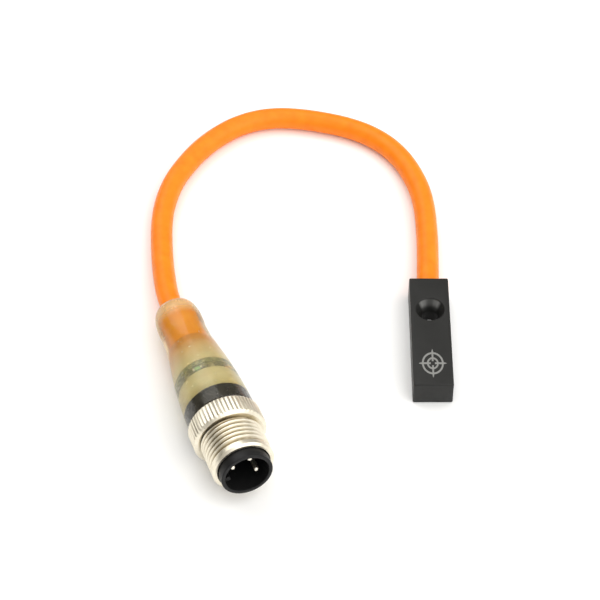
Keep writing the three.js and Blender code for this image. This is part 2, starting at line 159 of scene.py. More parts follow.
# Studio, in metres and watts
KEY_LIGHT = {"place": (0.42, -0.30, 0.62), "size": 1.2, "watts": 5.3}
FILL_LIGHT = {"place": (-0.36, 0.40, 0.62), "size": 0.7, "watts": 2.7}
ROOM_BRIGHT_SIDE = (0.45, -0.25, 0.85)
ROOM_DIM = (0.24, 0.23, 0.21)
ROOM_BRIGHT = (1.0, 0.99, 0.96)
ROOM_STRENGTH = 1.08
FLOOR_HALF_SIZE = 2.0
FLOOR_GREY = 0.97


def plug_frame():
    """The matrix from the plug's own millimetres to the frame's metres, from the nut's hinge."""
    hinge = frame["joints"][0]
    nose = Vector(hinge["axis"]).normalized()
    right = Vector((0, 0, 1)).cross(nose).normalized()
    upward = nose.cross(right)
    origin = Vector(hinge["pos_m"]) - nose * HINGE_Z * MM
    turn = Matrix((right, upward, nose)).transposed().to_4x4()
    return Matrix.Translation(origin) @ turn @ Matrix.Scale(MM, 4)


HEAD = Matrix.Scale(MM, 4)
PLUG = plug_frame()
PLUG_AXIS = (PLUG.to_3x3() @ Vector((0, 0, 1))).normalized()
PLUG_ACROSS = (PLUG.to_3x3() @ Vector((1, 0, 0))).normalized()

# ---------------------------------------------------------------- node materials


class Surface:
    """A Principled material whose colour, roughness and bump come from noise in the frame's metres."""

    def __init__(self, name, roughness, metallic=0.0, ior=1.5):
        self.material = bpy.data.materials.new(name)
        self.material.use_nodes = True
        self.nodes = self.material.node_tree.nodes
        self.links = self.material.node_tree.links
        self.shader = self.nodes["Principled BSDF"]
        self.set("Roughness", roughness)
        self.set("Metallic", metallic)
        self.set("IOR", ior)
        self.place = self.nodes.new("ShaderNodeTexCoord").outputs["Object"]
        self.bump = None

    def set(self, socket, value):
        self.shader.inputs[socket].default_value = value

    def link(self, output, target):
        self.links.new(output, target)

    def noise(self, size_mm, detail=3.0, roughness=0.5, stretch=None):
        """A noise whose blobs are about size_mm across, stretched along the plug's axis if asked."""
        texture = self.nodes.new("ShaderNodeTexNoise")
        texture.inputs["Scale"].default_value = 1 / (size_mm * MM)
        texture.inputs["Detail"].default_value = detail
        texture.inputs["Roughness"].default_value = roughness
        if stretch is None:
            self.link(self.place, texture.inputs["Vector"])
        else:
            self.link(self.along_plug(stretch), texture.inputs["Vector"])
        return texture.outputs["Fac"]

    def vector_math(self, operation, first, second=(0, 0, 0)):
        node = self.nodes.new("ShaderNodeVectorMath")
        node.operation = operation
        self.link(first, node.inputs[0])
        node.inputs[1].default_value = second
        return node

    def along_plug(self, stretch):
        """The frame's place with its part along the plug's axis multiplied by stretch."""
        reach = self.vector_math("DOT_PRODUCT", self.place, PLUG_AXIS)
        scale = self.nodes.new("ShaderNodeVectorMath")
        scale.operation = "SCALE"
        scale.inputs[0].default_value = PLUG_AXIS * (stretch - 1)
        self.link(reach.outputs["Value"], scale.inputs["Scale"])
        add = self.vector_math("ADD", self.place)
        self.link(scale.outputs["Vector"], add.inputs[1])
        return add.outputs["Vector"]

    def between(self, start, end, direction):
        """0 up to the plug's millimetre point start and 1 from the point end on, along direction."""
        reach = self.vector_math("DOT_PRODUCT", self.place, direction)
        start, end = ((PLUG @ Vector(point)).dot(direction) for point in (start, end))
        return self.spread(reach.outputs["Value"], 0, 1, start, end)

    def plug_station(self, start_z, end_z):
        """0 behind start_z and 1 in front of end_z, along the plug's axis."""
        return self.between((0, 0, start_z), (0, 0, end_z), PLUG_AXIS)

    def plug_side(self, start_x, end_x):
        """0 left of start_x and 1 right of end_x, across the plug as its nose points to the viewer."""
        return self.between((start_x, 0, 0), (end_x, 0, 0), PLUG_ACROSS)

    def plug_radius(self):
        """The distance from the plug's axis, in metres."""
        away = self.vector_math("SUBTRACT", self.place, PLUG @ Vector((0, 0, 0)))
        across = self.vector_math("CROSS_PRODUCT", away.outputs["Vector"], PLUG_AXIS)
        return self.vector_math("LENGTH", across.outputs["Vector"]).outputs["Value"]

    def round_screw_hole(self):
        """The distance from the screw hole's axis, and 1 on its side towards the lead, -1 opposite."""
        level = self.vector_math("MULTIPLY", self.place, (1, 1, 0))
        axis_place = (0, SCREW_Y * MM, 0)
        away = self.vector_math("SUBTRACT", level.outputs["Vector"], axis_place).outputs["Vector"]
        unit = self.vector_math("NORMALIZE", away)
        side = self.vector_math("DOT_PRODUCT", unit.outputs["Vector"], (0, 1, 0))
        return self.vector_math("LENGTH", away).outputs["Value"], side.outputs["Value"]

    def spread(self, factor, low, high, start=0.3, end=0.7):
        """Maps a factor that runs from start to end onto low to high, and holds it there outside."""
        remap = self.nodes.new("ShaderNodeMapRange")
        remap.inputs["From Min"].default_value = start
        remap.inputs["From Max"].default_value = end
        remap.inputs["To Min"].default_value = low
        remap.inputs["To Max"].default_value = high
        self.link(factor, remap.inputs["Value"])
        return remap.outputs["Result"]

    def colour(self, factor, *stops):
        """Base colour from a ramp of (position, colour) stops over a factor."""
        self.link(self.ramp(factor, *stops), self.shader.inputs["Base Color"])

    def ramp(self, factor, *stops):
        ramp = self.nodes.new("ShaderNodeValToRGB")
        elements = ramp.color_ramp.elements
        while len(elements) < len(stops):
            elements.new(0.5)
        for element, (position, rgb) in zip(elements, stops):
            element.position = position
            element.color = (*rgb, 1)
        self.link(factor, ramp.inputs["Fac"])
        return ramp.outputs["Color"]

    def mixed(self, factor, first, second_rgb):
        """The first colour at factor 0 and the second at 1."""
        mix = self.nodes.new("ShaderNodeMix")
        mix.data_type = "RGBA"
        self.link(factor, mix.inputs["Factor"])
        self.link(first, mix.inputs["A"])
        mix.inputs["B"].default_value = (*second_rgb, 1)
        return mix.outputs["Result"]

    def tint(self, factor, rgb):
        """Mixes the base colour towards rgb, not at all at factor 0 and wholly at 1."""
        base = self.shader.inputs["Base Color"]
        self.link(self.mixed(factor, base.links[0].from_socket, rgb), base)

    def combined(self, operation, first, *others):
        """Numbers added or multiplied together, one after another."""
        for other in others:
            node = self.nodes.new("ShaderNodeMath")
            node.operation = operation
            self.link(first, node.inputs[0])
            self.link(other, node.inputs[1])
            first = node.outputs["Value"]
        return first

    def rough(self, factor, low, high):
        self.link(self.spread(factor, low, high), self.shader.inputs["Roughness"])

    def relief(self, factor, depth_um, strength=1.0):
        """Adds a bump of that depth, in thousandths of a millimetre, on top of any earlier one."""
        bump = self.nodes.new("ShaderNodeBump")
        bump.inputs["Strength"].default_value = strength
        bump.inputs["Distance"].default_value = depth_um * MM * MM
        self.link(factor, bump.inputs["Height"])
        if self.bump is not None:
            self.link(self.bump.outputs["Normal"], bump.inputs["Normal"])
        self.bump = bump
        self.link(bump.outputs["Normal"], self.shader.inputs["Normal"])


def shades(rgb, amount):
    """The colour a little darker and a little lighter."""
    return tuple(c * (1 - amount) for c in rgb), tuple(min(1.0, c * (1 + amount)) for c in rgb)


def moulded(name, rgb, roughness, grain_mm=0.06, depth_um=2.0):
    """Moulded plastic: faint cloudy mottling, a fine spark-eroded grain and uneven gloss."""
    mottle, gloss_spread = 0.08, 0.06
    surface = Surface(name, roughness)
    dark, light = shades(rgb, mottle)
    surface.colour(surface.noise(3.0), (0.3, dark), (0.7, light))
    surface.relief(surface.noise(grain_mm, detail=2.0), depth_um)
    surface.rough(surface.noise(1.2), roughness - gloss_spread, roughness + gloss_spread)
    return surface


def head_black():
    """Black moulded block, with two painted highlights on the screw funnel's wall on its side towards the lead."""
    surface = moulded("head_black", (0.0155, 0.0155, 0.0145), 0.42, grain_mm=0.09, depth_um=3.0)
    distance, side = surface.round_screw_hole()
    mouth = SCREW_MOUTH_RADIUS * MM
    bore = SCREW_RADIUS * MM
    inside = surface.spread(distance, 1, 0, mouth - 0.22 * MM, mouth - 0.05 * MM)
    clear_of_bore = surface.spread(distance, 0, 1, bore + 0.05 * MM, bore + 0.5 * MM)
    # Painted highlight: two wedges of the funnel's wall towards the lead are lightened grey, standing in for
    # reflections of the lights.
    highlight_stops = ((0.55, 0.0), (0.76, 1.0), (0.93, 0.7), (0.995, 0.25))
    painted_highlights = surface.ramp(side, *((position, (grey, grey, grey)) for position, grey in highlight_stops))
    surface.tint(surface.combined("MULTIPLY", inside, clear_of_bore, painted_highlights), (0.17, 0.17, 0.165))
    surface.relief(surface.noise(2.5, detail=1.0), 8.0, 0.5)
    surface.set("Specular IOR Level", 0.25)
    return surface.material


def mark_grey():
    surface = Surface("mark_grey", 0.6)
    speckle = surface.noise(0.12, detail=4.0)
    surface.colour(speckle, (0.3, (0.16, 0.16, 0.15)), (0.7, (0.28, 0.28, 0.27)))
    surface.relief(surface.noise(0.05), 3.0)
    return surface.material


def seal_rubber():
    return moulded("seal_rubber", (0.012, 0.012, 0.012), 0.7, grain_mm=0.12, depth_um=4.0).material


def lead_orange():
    """Polyurethane jacket: saturated orange and satin, faintly uneven from its extrusion."""
    surface = Surface("lead_orange", 0.4)
    surface.colour(
        surface.noise(2.2, detail=4.0),
        (0.25, (0.88, 0.200, 0.004)),
        (0.5, (0.94, 0.228, 0.006)),
        (0.75, (0.97, 0.255, 0.008)),
    )
    surface.relief(surface.noise(0.09, detail=2.0), 3.0)
    surface.relief(surface.noise(1.5, detail=2.0), 12.0, 0.5)
    surface.rough(surface.noise(1.0), 0.34, 0.48)
    surface.set("Specular IOR Level", 0.25)
    return surface.material


def plug_clear():
    """Clear amber polyurethane: milky round the lead's entry, a little cloudy over the board.

    Its colour is darkened where the wall is seen at a slant, as painted shade for the longer path through the wall
    there.
    """
    surface = Surface("plug_clear", 0.16, ior=1.45)
    cloudy = surface.noise(3.5, detail=3.0)
    surface.colour(cloudy, (0.3, (1.0, 0.86, 0.48)), (0.7, (1.0, 0.91, 0.56)))
    # Painted shade: the colour darkens towards the body's outline as it is seen.
    slant = surface.nodes.new("ShaderNodeLayerWeight")
    slant.inputs["Blend"].default_value = 0.17
    surface.tint(slant.outputs["Facing"], (0.36, 0.29, 0.12))
    entry = surface.plug_station(4.5, 7.0)
    middle = surface.plug_station(JACKET_END_Z, JACKET_END_Z + 3.5)
    front = surface.plug_station(RING_REAR_Z - 2.0, RING_REAR_Z)
    clearness = surface.combined(
        "ADD",
        surface.spread(entry, 0.62, 0.97, 0, 1),
        surface.spread(middle, 0, -0.13, 0, 1),
        surface.spread(front, 0, 0.15, 0, 1),
    )
    surface.link(clearness, surface.shader.inputs["Transmission Weight"])
    surface.set("Specular IOR Level", 0.2)
    surface.relief(surface.noise(0.8, detail=2.0), 3.0, 0.6)
    surface.rough(surface.noise(1.1), 0.14, 0.28)
    return surface.material


def jacket_in_resin():
    """The jacket where the clear resin wets it, deeper and brighter than in air."""
    surface = Surface("jacket_in_resin", 0.5)
    surface.colour(surface.noise(2.0), (0.3, (1.0, 0.37, 0.001)), (0.7, (1.0, 0.42, 0.004)))
    surface.relief(surface.noise(0.3), 3.0)
    surface.set("Specular IOR Level", 0.05)
    return surface.material


def inner_resin():
    """Milky first-shot resin, tinted orange up to just past the jacket's end and fading out by 6 mm in front of
    it.
    """
    surface = Surface("inner_resin", 0.45, ior=1.45)
    surface.colour(surface.noise(2.4, detail=3.0), (0.3, (0.98, 0.88, 0.58)), (0.7, (1.0, 0.97, 0.72)))
    past_jacket = surface.plug_station(JACKET_END_Z + 0.5, JACKET_END_Z + 6.0)
    surface.tint(surface.spread(past_jacket, 1, 0, 0, 1), (1.0, 0.45, 0.04))
    surface.set("Transmission Weight", 0.30)
    surface.relief(surface.noise(0.5), 4.0)
    return surface.material


def insert_black():
    surface = moulded("insert_black", (0.007, 0.007, 0.0072), 0.42, grain_mm=0.07, depth_um=2.0)
    surface.set("Specular IOR Level", 0.22)
    return surface.material


def nut_nickel():
    """Bright nickel over turned brass: turning rings, small scuffs, and the thread's root darkened brown as grime
    and painted shade, the painted shade heavier on the plug's left.
    """
    surface = Surface("nut_nickel", 0.24, metallic=1.0)
    surface.colour(
        surface.noise(1.6, detail=5.0),
        (0.3, (0.76, 0.70, 0.56)),
        (0.7, (0.84, 0.78, 0.65)),
    )
    root, crest = (THREAD_ROOT_RADIUS + 0.05) * MM, (THREAD_RADIUS - 0.14) * MM
    past_thread = surface.plug_station(THREAD_FRONT_Z, THREAD_FRONT_Z + 0.2)
    # Grime and painted shade: the thread's roots are darkened brown, fully on the plug's left and only to 0.3 on
    # its right, where the light is brighter.
    root_shade_and_grime = surface.combined(
        "MULTIPLY",
        surface.spread(surface.plug_radius(), 1, 0, root, crest),
        surface.spread(past_thread, 0.9, 0, 0, 1),
        surface.spread(surface.plug_side(-1.0, 2.5), 1, 0.3, 0, 1),
    )
    surface.tint(root_shade_and_grime, (0.24, 0.18, 0.09))
    surface.relief(surface.noise(0.5, detail=3.0, stretch=14.0), 0.8)
    surface.relief(surface.noise(0.25, detail=4.0, roughness=0.7), 0.6, 0.6)
    surface.rough(surface.noise(0.7, detail=4.0), 0.28, 0.38)
    return surface.material


def pin_gold():
    surface = Surface("pin_gold", 0.32, metallic=1.0)
    surface.colour(surface.noise(0.5), (0.3, (0.90, 0.84, 0.70)), (0.7, (0.98, 0.93, 0.82)))
    surface.relief(surface.noise(0.2, stretch=10.0), 1.0)
    surface.rough(surface.noise(0.3), 0.28, 0.38)
    return surface.material


def board_green():
    surface = Surface("board_green", 0.35)
    surface.colour(
        surface.noise(0.8, detail=1.0),
        (0.40, (0.07, 0.10, 0.03)),
        (0.52, (0.12, 0.16, 0.06)),
        (0.60, (0.28, 0.30, 0.16)),
    )
    surface.relief(surface.noise(0.6, detail=1.0), 15.0)
    return surface.material


def plain_moulded(name, rgb, roughness=0.45):
    return moulded(name, rgb, roughness).material


def metal(name, dark, light, roughness):
    surface = Surface(name, roughness, metallic=1.0)
    surface.colour(surface.noise(0.2), (0.3, dark), (0.7, light))
    surface.relief(surface.noise(0.15), 2.0)
    return surface.material


MATERIALS = {
    "head_black": head_black(),
    "mark_grey": mark_grey(),
    "seal_rubber": seal_rubber(),
    "lead_orange": lead_orange(),
    "plug_clear": plug_clear(),
    "inner_resin": inner_resin(),
    "jacket_in_resin": jacket_in_resin(),
    "insert_black": insert_black(),
    "nut_nickel": nut_nickel(),
    "pin_gold": pin_gold(),
    "board_green": board_green(),
    "ferrite": plain_moulded("ferrite", (0.04, 0.04, 0.045), 0.6),
    "bobbin_natural": plain_moulded("bobbin_natural", (0.70, 0.65, 0.52)),
    "copper": metal("copper", (0.62, 0.24, 0.10), (0.80, 0.38, 0.20), 0.35),
    "solder": metal("solder", (0.55, 0.55, 0.55), (0.72, 0.72, 0.72), 0.3),
    "chip_black": plain_moulded("chip_black", (0.015, 0.015, 0.016)),
    "chip_ceramic": plain_moulded("chip_ceramic", (0.36, 0.26, 0.15)),
    "lamp_green": plain_moulded("lamp_green", (0.30, 0.62, 0.34), 0.2),
    "lamp_yellow": plain_moulded("lamp_yellow", (0.85, 0.55, 0.12), 0.2),
    "wire_brown": plain_moulded("wire_brown", (0.12, 0.045, 0.018)),
    "wire_blue": plain_moulded("wire_blue", (0.02, 0.09, 0.36)),
    "wire_black": plain_moulded("wire_black", (0.015, 0.015, 0.015)),
}

# ---------------------------------------------------------------- mesh building


def add_piece(name, verts, faces, place, material, sharp_degrees=35.0):
    """A mesh object from millimetre points, put in the frame by the matrix place."""
    mesh = bpy.data.meshes.new(name)
    mesh.from_pydata([place @ Vector(v) for v in verts], [], faces)
    mesh.validate()
    piece = bpy.data.objects.new(name, mesh)
    bpy.context.scene.collection.objects.link(piece)
    mesh.materials.append(MATERIALS[material])
    face_outwards(mesh)
    smooth(mesh, sharp_degrees)
    return piece


def face_outwards(mesh):
    """Welds doubled points and turns every face outwards."""
    work = bmesh.new()
    work.from_mesh(mesh)
    bmesh.ops.remove_doubles(work, verts=work.verts, dist=1e-8)
    bmesh.ops.recalc_face_normals(work, faces=work.faces)
    work.to_mesh(mesh)
    work.free()


def smooth(mesh, sharp_degrees):
    mesh.polygons.foreach_set("use_smooth", [True] * len(mesh.polygons))
    mesh.set_sharp_from_angle(angle=math.radians(sharp_degrees))
    mesh.update()


def attach(piece, slot, *nodes, body="root"):
    """The piece stands for those CAD nodes and moves with the body; slot is not used."""
    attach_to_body(piece, body)
    if nodes:
        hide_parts(*nodes)
    return piece


def rounded(corners, closed=False, steps=4):
    """The outline through (x, y, radius) corners, each rounded by an arc of its radius."""
    outline = []
    last = len(corners) - 1
    for i, (x, y, radius) in enumerate(corners):
        here = Vector((x, y))
        if radius == 0 or (not closed and i in (0, last)):
            outline.append(here)
            continue
        back = (Vector(corners[i - 1][:2]) - here).normalized()
        ahead = (Vector(corners[(i + 1) % len(corners)][:2]) - here).normalized()
        half = back.angle(ahead) / 2
        centre = here + (back + ahead).normalized() * radius / math.sin(half)
        start = here + back * radius / math.tan(half) - centre
        end = here + ahead * radius / math.tan(half) - centre
        first = math.atan2(start.y, start.x)
        sweep = math.remainder(math.atan2(end.y, end.x) - first, math.tau)
        for k in range(steps + 1):
            angle = first + sweep * k / steps
            outline.append(centre + radius * Vector((math.cos(angle), math.sin(angle))))
    return outline


def through(points):
    """A smooth line through the points, six steps from each to the next."""
    per_span = 6
    points = [Vector(p) for p in points]
    padded = [2 * points[0] - points[1], *points, 2 * points[-1] - points[-2]]
    outline = []
    for p0, p1, p2, p3 in zip(padded, padded[1:], padded[2:], padded[3:]):
        for k in range(per_span):
            outline.append(catmull_rom(p0, p1, p2, p3, k / per_span))
    outline.append(points[-1])
    return outline


def catmull_rom(p0, p1, p2, p3, t):
    """The centripetal Catmull-Rom point between p1 and p2."""
    t0 = 0.0
    t1 = math.sqrt((p1 - p0).length)
    t2 = t1 + math.sqrt((p2 - p1).length)
    t3 = t2 + math.sqrt((p3 - p2).length)
    u = t1 + (t2 - t1) * t
    a1 = p0 * ((t1 - u) / (t1 - t0)) + p1 * ((u - t0) / (t1 - t0))
    a2 = p1 * ((t2 - u) / (t2 - t1)) + p2 * ((u - t1) / (t2 - t1))
    a3 = p2 * ((t3 - u) / (t3 - t2)) + p3 * ((u - t2) / (t3 - t2))
    b1 = a1 * ((t2 - u) / (t2 - t0)) + a2 * ((u - t0) / (t2 - t0))
    b2 = a2 * ((t3 - u) / (t3 - t1)) + a3 * ((u - t1) / (t3 - t1))
    return b1 * ((t2 - u) / (t2 - t1)) + b2 * ((u - t1) / (t2 - t1))


def turned(outline, sides=96, shape=None, closed=False):
    """Vertices and faces of an outline of (radius, z) points turned about Z.

    An open outline starts and ends on the axis. shape(radius, z, angle) may change a radius.
    """
    verts, rings = [], []
    for radius, z in outline:
        if radius < 1e-6:
            rings.append([len(verts)] * sides)
            verts.append((0, 0, z))
            continue
        rings.append(list(range(len(verts), len(verts) + sides)))
        for j in range(sides):
            angle = math.tau * j / sides
            r = shape(radius, z, angle) if shape else radius
            verts.append((r * math.cos(angle), r * math.sin(angle), z))
    pairs = list(zip(rings, rings[1:]))
    if closed:
        pairs.append((rings[-1], rings[0]))
    faces = []
    for low, high in pairs:
        for j in range(sides):
            k = (j + 1) % sides
            face = [low[j], low[k], high[k], high[j]]
            face = [v for n, v in enumerate(face) if v not in face[:n]]
            if len(face) > 2:
                faces.append(face)
    return verts, faces


def moved(shape, x=0.0, y=0.0, z=0.0, turn_degrees=0.0):
    """The shape turned about Z and then shifted."""
    verts, faces = shape
    place = Matrix.Translation((x, y, z)) @ Matrix.Rotation(math.radians(turn_degrees), 4, "Z")
    return [place @ Vector(v) for v in verts], faces


def merged(*shapes):
    """Several closed shapes as one list of vertices and faces."""
    verts, faces = [], []
    for shape_verts, shape_faces in shapes:
        faces += [[v + len(verts) for v in face] for face in shape_faces]
        verts += list(shape_verts)
    return verts, faces


def prism(outline, z0, z1):
    """A closed prism over an outline of (x, y) points."""
    count = len(outline)
    verts = [(x, y, z0) for x, y in outline] + [(x, y, z1) for x, y in outline]
    sides = [[i, (i + 1) % count, count + (i + 1) % count, count + i] for i in range(count)]
    return verts, [list(range(count))[::-1], list(range(count, 2 * count)), *sides]


def bevelled_box(low, high, edge, segments=3):
    """A box with every edge rounded."""
    work = bmesh.new()
    bmesh.ops.create_cube(work, size=1)
    size = Vector(high) - Vector(low)
    middle = (Vector(high) + Vector(low)) / 2
    stretch = Matrix.Translation(middle) @ Matrix.Diagonal((*size, 1))
    bmesh.ops.transform(work, matrix=stretch, verts=work.verts)
    bmesh.ops.bevel(
        work, geom=work.edges[:], offset=edge, segments=segments,
        profile=0.5, affect="EDGES", clamp_overlap=True,
    )
    verts = [tuple(v.co) for v in work.verts]
    faces = [[v.index for v in face.verts] for face in work.faces]
    work.free()
    return verts, faces


def carve(piece, *cutters):
    """Cuts each closed cutter out of the piece and applies the result."""
    for cutter in cutters:
        step = piece.modifiers.new("cut", "BOOLEAN")
        step.operation = "DIFFERENCE"
        step.solver = "EXACT"
        step.object = cutter
    depsgraph = bpy.context.evaluated_depsgraph_get()
    result = bpy.data.meshes.new_from_object(piece.evaluated_get(depsgraph))
    piece.modifiers.clear()
    piece.data = result
    for cutter in cutters:
        bpy.data.objects.remove(cutter)
    smooth(piece.data, 35.0)
    return piece


def polar(radius, degrees):
    angle = math.radians(degrees)
    return radius * math.cos(angle), radius * math.sin(angle)


def tube(name, points, radius, place, material):
    """A round tube along a smooth line through the points, as a curve with filled ends."""
    line = through(points)
    curve = bpy.data.curves.new(name, "CURVE")
    curve.dimensions = "3D"
    curve.bevel_depth = radius * MM
    curve.bevel_resolution = 8
    curve.use_fill_caps = True
    spline = curve.splines.new("POLY")
    spline.points.add(len(line) - 1)
    for point, place_mm in zip(spline.points, line):
        point.co = (*(place @ place_mm), 1)
    spline.use_smooth = True
    piece = bpy.data.objects.new(name, curve)
    bpy.context.scene.collection.objects.link(piece)
    curve.materials.append(MATERIALS[material])
    return piece


# ---------------------------------------------------------------- camera


def add_camera():
    data = bpy.data.cameras.new("camera")
    data.lens = CAMERA_LENS
    data.sensor_width = CAMERA_SENSOR_WIDTH
    data.clip_start = 0.01
    data.clip_end = 10
    camera = bpy.data.objects.new("camera", data)
    bpy.context.scene.collection.objects.link(camera)
    towards_camera = Vector((0, -math.cos(CAMERA_ELEVATION), math.sin(CAMERA_ELEVATION)))
    camera.location = (Vector(VIEW_CENTRE) + towards_camera * CAMERA_DISTANCE) * MM
    camera.rotation_mode = "QUATERNION"
    camera.rotation_quaternion = (-towards_camera).to_track_quat("-Z", "Y")
    bpy.context.scene.camera = camera


add_camera()

# ---------------------------------------------------------------- lead


def add_lead():
    """The lead, with each end run a little way into the plug and into the head's seal."""
    inside_plug_z, inside_head = 2.4, 0.2
    into_plug = PLUG @ Vector((0, 0, inside_plug_z)) / MM
    into_head = Vector((0, HEAD_LENGTH / 2 - inside_head, HEAD_HEIGHT / 2))
    route = [into_plug, *map(Vector, LEAD_ROUTE), into_head]
    lead = tube("lead", route, LEAD_RADIUS, HEAD, "lead_orange")
    return attach(lead, "lead_orange", "cable_jacket")


lead = add_lead()

# ---------------------------------------------------------------- sensor head


def screw_hole_cutter():
    lip = 0.16
    outline = rounded([
        (0, -1, 0),
        (SCREW_RADIUS, -1, 0),
        (SCREW_RADIUS, SCREW_SEAT_Z, 0.2),
        (SCREW_RADIUS + 0.2, SCREW_SEAT_Z + 1.3, 0.2),
        (SCREW_MOUTH_RADIUS, HEAD_HEIGHT + 0.002, lip),
        (SCREW_MOUTH_RADIUS + 0.5, HEAD_HEIGHT + 0.002, 0),
        (SCREW_MOUTH_RADIUS + 0.5, HEAD_HEIGHT + 1, 0),
        (0, HEAD_HEIGHT + 1, 0),
    ], steps=5)
    return add_piece("hole_cutter", *moved(turned(outline), y=SCREW_Y), HEAD, "head_black")


def box_cutter(low, high):
    corners = [(low[0], low[1]), (high[0], low[1]), (high[0], high[1]), (low[0], high[1])]
    return add_piece("box_cutter", *prism(corners, low[2], high[2]), HEAD, "head_black")


def add_head_shell():
    """The block, hollow from below, with its screw hole, the seal's bore and the cover's step."""
    low = (-HEAD_WIDTH / 2, -HEAD_LENGTH / 2, 0)
    high = (HEAD_WIDTH / 2, HEAD_LENGTH / 2, HEAD_HEIGHT)
    shell = add_piece("head_shell", *bevelled_box(low, high, HEAD_EDGE, 4), HEAD, "head_black")
    bore = turned([(0, 0), (SEAL_BORE_RADIUS, 0), (SEAL_BORE_RADIUS, 6), (0, 6)], 64)
    seal_middle = Matrix.Translation((0, SEAL_FRONT_Y, HEAD_HEIGHT / 2))
    lay_down = seal_middle @ Matrix.Rotation(-math.pi / 2, 4, "X")
    seal_cutter = add_piece("seal_cutter", *bore, HEAD @ lay_down, "head_black")
    end_y = -HEAD_LENGTH / 2
    cover_x = HEAD_WIDTH / 2 - COVER_RIM
    chamber_x = HEAD_WIDTH / 2 - CHAMBER_SIDE_WALL
    chamber_low = (-chamber_x, end_y + CHAMBER_END_WALL, -0.9)
    chamber_high = (chamber_x, CHAMBER_REAR_Y, HEAD_HEIGHT - CHAMBER_ROOF)
    carve(
        shell,
        screw_hole_cutter(),
        seal_cutter,
        box_cutter((-cover_x, end_y + COVER_RIM, -1), (cover_x, COVER_REAR_Y, COVER_DEPTH)),
        box_cutter(chamber_low, chamber_high),
    )
    attach(shell, "head_black", "sensor_housing")


def ring_shape(radius, width, height, z0=0.0):
    inner, outer = radius - width / 2, radius + width / 2
    outline = [(inner, z0), (outer, z0), (outer, z0 + height), (inner, z0 + height)]
    return turned(outline, 128, closed=True)


def add_sensing_mark():
    """The ring-and-cross sensing-point mark, a laser-foamed print that stands a hair proud."""
    line = 0.36
    arm_start, arm_shoulder, arm_tip = 0.42, 2.35, 2.85
    arm = prism(
        [(arm_start, -line / 2), (arm_shoulder, -line / 2), (arm_tip, -0.04), (arm_tip, 0.04),
         (arm_shoulder, line / 2), (arm_start, line / 2)], -0.02, 0.016,
    )
    shapes = [ring_shape(2.06, line, 0.032, -0.02), ring_shape(1.04, line * 0.95, 0.032, -0.02)]
    shapes += [moved(arm, turn_degrees=90 * quarter) for quarter in range(4)]
    verts, faces = merged(*shapes)
    verts = [(x * MARK_STRETCH[0], y * MARK_STRETCH[1], z) for x, y, z in verts]
    mark = moved((verts, faces), y=MARK_Y, z=HEAD_HEIGHT)
    attach(add_piece("sensing_mark", *mark, HEAD, "mark_grey"), None)


add_head_shell()
add_sensing_mark()

# ---------------------------------------------------------------- plug body and what shows inside it


def add_plug_body():
    """The clear overmoulding, solid, with its waisted horn outline."""
    outline = [Vector((0, BODY_REAR_Z + 0.1))]
    outline += through([
        (2.3, BODY_REAR_Z + 0.02),
        (2.9, BODY_REAR_Z + 0.06),
        (3.5, 1.95),
        (4.05, 2.75),
        (4.4, 4.0),
        (4.58, 5.8),
        (4.54, 7.6),
        (4.46, 9.4),
        (4.62, 12.2),
        (5.03, 15.0),
        (5.48, 18.0),
        (5.90, 21.0),
        (6.23, 24.5),
        (6.50, 28.5),
    ])
    front_radius = 6.63
    outline += [
        Vector((front_radius, BODY_FRONT_Z - 0.15)),
        Vector((front_radius - 0.1, BODY_FRONT_Z)),
        Vector((0, BODY_FRONT_Z)),
    ]
    body = add_piece("plug_overmould", *turned(outline, 128), PLUG, "plug_clear")
    attach(body, "plug_clear", "plug_body")


def add_jacket_end():
    """The lead's jacket inside the plug, cut square with a soft edge."""
    outline = rounded([
        (0, BODY_REAR_Z + 0.5, 0),
        (LEAD_RADIUS - 0.01, BODY_REAR_Z + 0.5, 0),
        (LEAD_RADIUS, JACKET_END_Z, 0.15),
        (0, JACKET_END_Z, 0),
    ])
    jacket = add_piece("jacket_inner", *turned(outline, 64), PLUG, "jacket_in_resin")
    attach(jacket, "lead_orange", "jacket_end")


def add_plug_wires():
    """A conductor from the jacket's end to each contact, in its contact's standard colour."""
    wire_radius, bundle_radius = 0.45, 1.1
    names = {1: "brown", 3: "blue", 4: "black"}
    for number, degrees in PIN_ANGLES.items():
        inner = polar(bundle_radius, degrees)
        outer = polar(PIN_CIRCLE_RADIUS, degrees)
        route = [
            (*inner, JACKET_END_Z - 0.3),
            (*inner, JACKET_END_Z + 1.2),
            (*outer, PIN_REAR_Z - 1.2),
            (*outer, PIN_REAR_Z - 0.1),
        ]
        wire = tube(f"wire_{names[number]}", route, wire_radius, PLUG, f"wire_{names[number]}")
        attach(wire, f"wire_{names[number]}", f"plug_wire_{names[number]}")


def add_lamp_board():
    """The board, and the solder where each contact passes it."""
    outline = rounded([
        (0, BOARD_REAR_Z, 0),
        (BOARD_RADIUS, BOARD_REAR_Z, 0.06),
        (BOARD_RADIUS, BOARD_FRONT_Z, 0.06),
        (0, BOARD_FRONT_Z, 0),
    ])
    board = add_piece("lamp_board_disc", *turned(outline), PLUG, "board_green")
    attach(board, "board_green", "lamp_board")
    joints = []
    for degrees in PIN_ANGLES.values():
        x, y = polar(PIN_CIRCLE_RADIUS, degrees)
        fillet = [(PIN_RADIUS, 0), (1.0, 0), (0.8, -0.15), (0.62, -0.45), (PIN_RADIUS, -0.6)]
        joints.append(moved(turned(fillet, 32, closed=True), x, y, BOARD_REAR_Z + 0.01))
    attach(add_piece("solder_joints", *merged(*joints), PLUG, "solder"), None)


